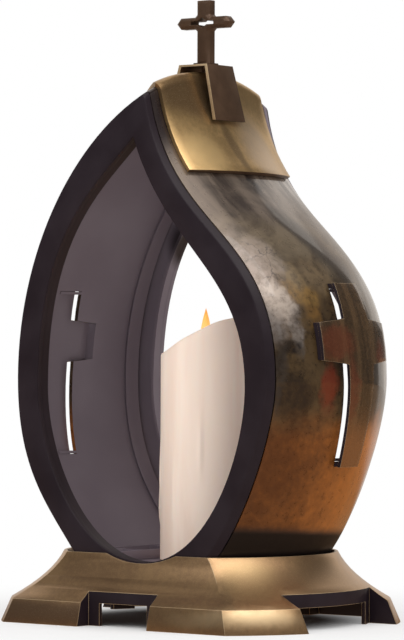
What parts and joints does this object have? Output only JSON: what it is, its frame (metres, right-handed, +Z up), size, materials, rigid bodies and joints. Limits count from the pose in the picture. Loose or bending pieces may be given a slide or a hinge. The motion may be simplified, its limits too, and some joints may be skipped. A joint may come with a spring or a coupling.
{
  "type": "grave lantern",
  "caption": "Drop-shaped open lantern on a flared notched foot, with a saddle cap and small cross, raised crosses on both sides and a battery candle.",
  "frame": {"origin": "on the ground, under the middle of the foot", "axes": "+Z up, -Y out of the open front with the leaning apex's hollow flank on the right, +X to the lantern's right side as seen from the front"},
  "size_m": [0.2336, 0.174, 0.3714],
  "materials": {
    "bronze_gold": "satin metallic gold-bronze lacquer on moulded plastic",
    "tray_plastic": "satin grey-violet plastic",
    "steel": "plain steel",
    "shell_lacquer": "glossy marbled bronze lacquer outside, satin grey-violet inside",
    "frame_lacquer": "near-black satin lacquer",
    "cross_lacquer": "glossy dark bronze lacquer",
    "dark_bronze": "satin dark bronze lacquer",
    "ivory_wax": "smooth ivory wax look",
    "amber_flame": "translucent glowing amber",
    "lamp_plastic": "clear warm lamp dome",
    "gear_plastic": "plain off-white plastic",
    "battery_jacket": "plain printed foil jacket",
    "board_green": "green circuit board",
    "switch_black": "black plastic"
  },
  "bodies": {
    "lantern": {"base_shell": "bronze_gold", "floor_tray": "tray_plastic", "guide_frame": "tray_plastic", "tray_screw_1": "steel", "tray_screw_2": "steel", "tray_screw_3": "steel", "tray_screw_4": "steel", "left_shell": "shell_lacquer", "right_shell": "shell_lacquer", "front_frame": "frame_lacquer", "back_frame": "frame_lacquer", "left_cross_plate": "cross_lacquer", "right_cross_plate": "cross_lacquer"},
    "lid": {"ridge_cap": "bronze_gold", "crest_block": "dark_bronze", "finial_cross": "dark_bronze", "crest_screw": "steel"},
    "candle": {"candle_sleeve": "ivory_wax", "flame_tip": "amber_flame", "led_lamp": "lamp_plastic", "battery_case": "gear_plastic", "battery_1": "battery_jacket", "battery_2": "battery_jacket", "contact_springs": "steel", "contact_bridge": "steel", "circuit_board": "board_green"},
    "cover": {"battery_cover": "gear_plastic"},
    "switch": {"switch_slider": "switch_black"}
  },
  "joints": [
    {"name": "lid_lift", "type": "slide", "parent": "lantern", "child": "lid", "axis": [0, 0, 1], "range_m": [0, 0.09]},
    {"name": "candle_out", "type": "slide", "parent": "lantern", "child": "candle", "axis": [0, -0.98, 0.199], "range_m": [0, 0.12]},
    {"name": "cover_twist", "type": "hinge", "parent": "candle", "child": "cover", "pos_m": [0.003, 0, 0.0376], "axis": [0, 0, 1], "range_deg": [0, 30]},
    {"name": "switch_slide", "type": "slide", "parent": "candle", "child": "switch", "axis": [1, 0, 0], "range_m": [0, 0.004]}
  ]
}
